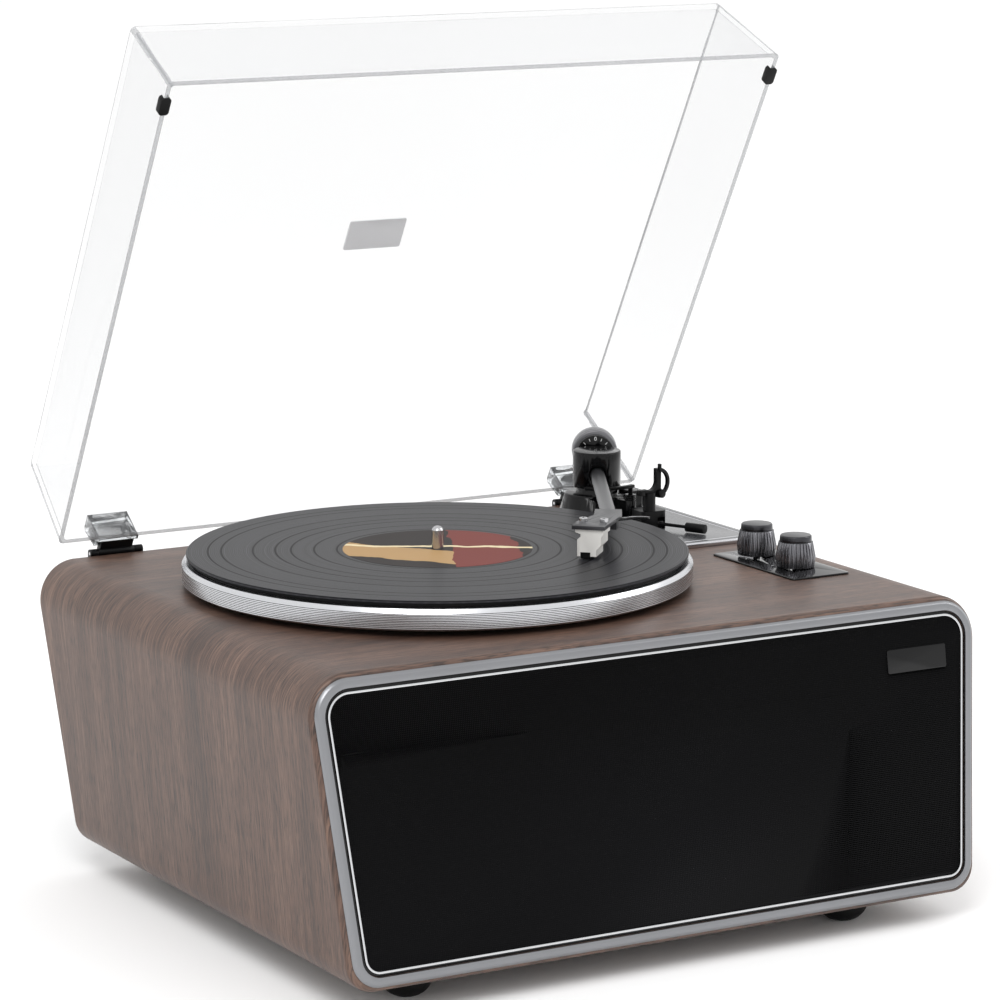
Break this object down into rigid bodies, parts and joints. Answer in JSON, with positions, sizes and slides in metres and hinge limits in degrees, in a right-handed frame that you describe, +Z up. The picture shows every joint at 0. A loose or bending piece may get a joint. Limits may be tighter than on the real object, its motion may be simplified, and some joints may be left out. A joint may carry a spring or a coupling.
{
  "type": "turntable record player",
  "caption": "Belt-driven record player with built-in speakers, a walnut cabinet, a straight tonearm, fluted knobs and a hinged clear dust cover standing open.",
  "frame": {"origin": "on the floor plane under the feet, at the centre of the whole object's outline with its cover open", "axes": "+X to the listener's right, +Y to the back, +Z up"},
  "size_m": [0.445, 0.4391, 0.5269],
  "materials": {
    "walnut_veneer": "satin",
    "rubber_black": "matte",
    "satin_metal": "satin",
    "platter_aluminium": "satin",
    "steel": "satin",
    "speaker_cloth": "matte",
    "black_plastic": "matte",
    "gloss_black_plastic": "gloss",
    "vinyl": "gloss",
    "label_paper": "matte",
    "clear_acrylic": "gloss",
    "white_plastic": "satin",
    "dark_metal": "satin",
    "grey_metal": "satin",
    "fibreboard": "matte",
    "circuit_board": "matte",
    "brass": "satin"
  },
  "bodies": {
    "cabinet": {"amplifier_board": "circuit_board", "armrest": "black_plastic", "aux_socket": "black_plastic", "bass_port": "black_plastic", "bearing_housing": "brass", "cabinet_wrap": "walnut_veneer", "control_plate": "gloss_black_plastic", "drive_belt": "rubber_black", "feet": "rubber_black", "front_badge": "satin_metal", "front_trim": "satin_metal", "grille_cloth": "speaker_cloth", "grille_frame": "gloss_black_plastic", "hinge_bases": "black_plastic", "hinge_pins": "steel", "motor": "steel", "potentiometers": "black_plastic", "power_inlet": "black_plastic", "power_supply": "black_plastic", "power_switch_frame": "black_plastic", "rca_sockets": "black_plastic", "rear_panel": "black_plastic", "rear_panel_screws": "steel", "speaker_baffle": "fibreboard", "tonearm_base": "black_plastic", "tonearm_plate": "grey_metal", "tweeter_domes": "black_plastic", "tweeter_plates": "black_plastic", "woofer_cones": "black_plastic", "woofer_frames": "black_plastic", "woofer_magnets": "dark_metal"},
    "lid": {"lid": "clear_acrylic", "lid_badge": "satin_metal", "lid_bumpers": "rubber_black", "hinge_sockets": "clear_acrylic", "hinge_leaves": "black_plastic"},
    "platter": {"platter": "platter_aluminium", "platter_mat": "rubber_black", "record": "vinyl", "record_label": "label_paper", "spindle_shaft": "steel"},
    "pulley": {"motor_pulley": "steel"},
    "turret": {"turret": "black_plastic"},
    "arm": {"pivot_block": "dark_metal", "pitch_pins": "steel", "arm_tube": "dark_metal", "headshell": "dark_metal", "finger_lift": "gloss_black_plastic", "cartridge": "white_plastic", "stylus": "black_plastic", "cartridge_screws": "steel"},
    "dial": {"dial_ring": "black_plastic"},
    "weight": {"counterweight": "steel"},
    "cue_lever": {"cue_lever": "black_plastic"},
    "lift_platform": {"lift_platform": "black_plastic"},
    "antiskate_knob": {"antiskate_knob": "black_plastic"},
    "latch": {"armrest_latch": "black_plastic"},
    "volume_knob": {"volume_knob": "black_plastic"},
    "selector_knob": {"selector_knob": "black_plastic"},
    "power_rocker": {"power_rocker": "black_plastic"}
  },
  "joints": [
    {"name": "lid_hinge", "type": "hinge", "parent": "cabinet", "child": "lid", "pos_m": [0, 0.17145, 0.1931], "axis": [1, 0, 0], "range_deg": [0, 60.6]},
    {"name": "platter_spin", "type": "hinge", "parent": "cabinet", "child": "platter", "pos_m": [-0.0389, -0.00895, 0.192], "axis": [0, 0, 1], "continuous": true},
    {"name": "pulley_spin", "type": "hinge", "parent": "cabinet", "child": "pulley", "pos_m": [-0.14109, 0.05005, 0.192], "axis": [0, 0, 1], "continuous": true},
    {"name": "arm_swing", "type": "hinge", "parent": "cabinet", "child": "turret", "pos_m": [0.1438, 0.10705, 0.213], "axis": [0, 0, 1], "range_deg": [-9.5, 38.75]},
    {"name": "arm_lift", "type": "hinge", "parent": "turret", "child": "arm", "pos_m": [0.1438, 0.10705, 0.2246], "axis": [-0.8759, 0.4825, 0], "range_deg": [0, 3]},
    {"name": "weight_travel", "type": "slide", "parent": "arm", "child": "dial", "axis": [0.4825, 0.8759, 0], "range_m": [0, 0.001]},
    {"name": "weight_turn", "type": "hinge", "parent": "dial", "child": "weight", "pos_m": [0.15297, 0.12369, 0.2331], "axis": [0.4825, 0.8759, 0], "range_deg": [0, 180]},
    {"name": "cue_turn", "type": "hinge", "parent": "cabinet", "child": "cue_lever", "pos_m": [0.1579, 0.05425, 0.1986], "axis": [-1, 0, 0], "range_deg": [0, 35]},
    {"name": "lift_rise", "type": "slide", "parent": "cabinet", "child": "lift_platform", "axis": [0, 0, 1], "range_m": [0, 0.00152]},
    {"name": "antiskate_turn", "type": "hinge", "parent": "cabinet", "child": "antiskate_knob", "pos_m": [0.1671, 0.09505, 0.207], "axis": [1, 0, 0], "range_deg": [0, 270]},
    {"name": "latch_turn", "type": "hinge", "parent": "cabinet", "child": "latch", "pos_m": [0.15992, 0.0583, 0.2175], "axis": [-0.1719, 0.9851, 0], "range_deg": [-20, 0]},
    {"name": "volume_turn", "type": "hinge", "parent": "cabinet", "child": "volume_knob", "pos_m": [0.1707, -0.03925, 0.192], "axis": [0, 0, -1], "range_deg": [0, 300]},
    {"name": "selector_turn", "type": "hinge", "parent": "cabinet", "child": "selector_knob", "pos_m": [0.1708, -0.08195, 0.192], "axis": [0, 0, -1], "range_deg": [-45, 45]},
    {"name": "power_rock", "type": "hinge", "parent": "cabinet", "child": "power_rocker", "pos_m": [-0.11, 0.13804, 0.07483], "axis": [1, 0, 0], "range_deg": [-7, 7]}
  ],
  "couplings": [
    {"joint": "pulley_spin", "follows": "platter_spin", "ratio": 15.333},
    {"joint": "cue_turn", "follows": "arm_lift", "ratio": 11.667},
    {"joint": "lift_rise", "follows": "arm_lift", "m_per_rad": 0.029}
  ]
}
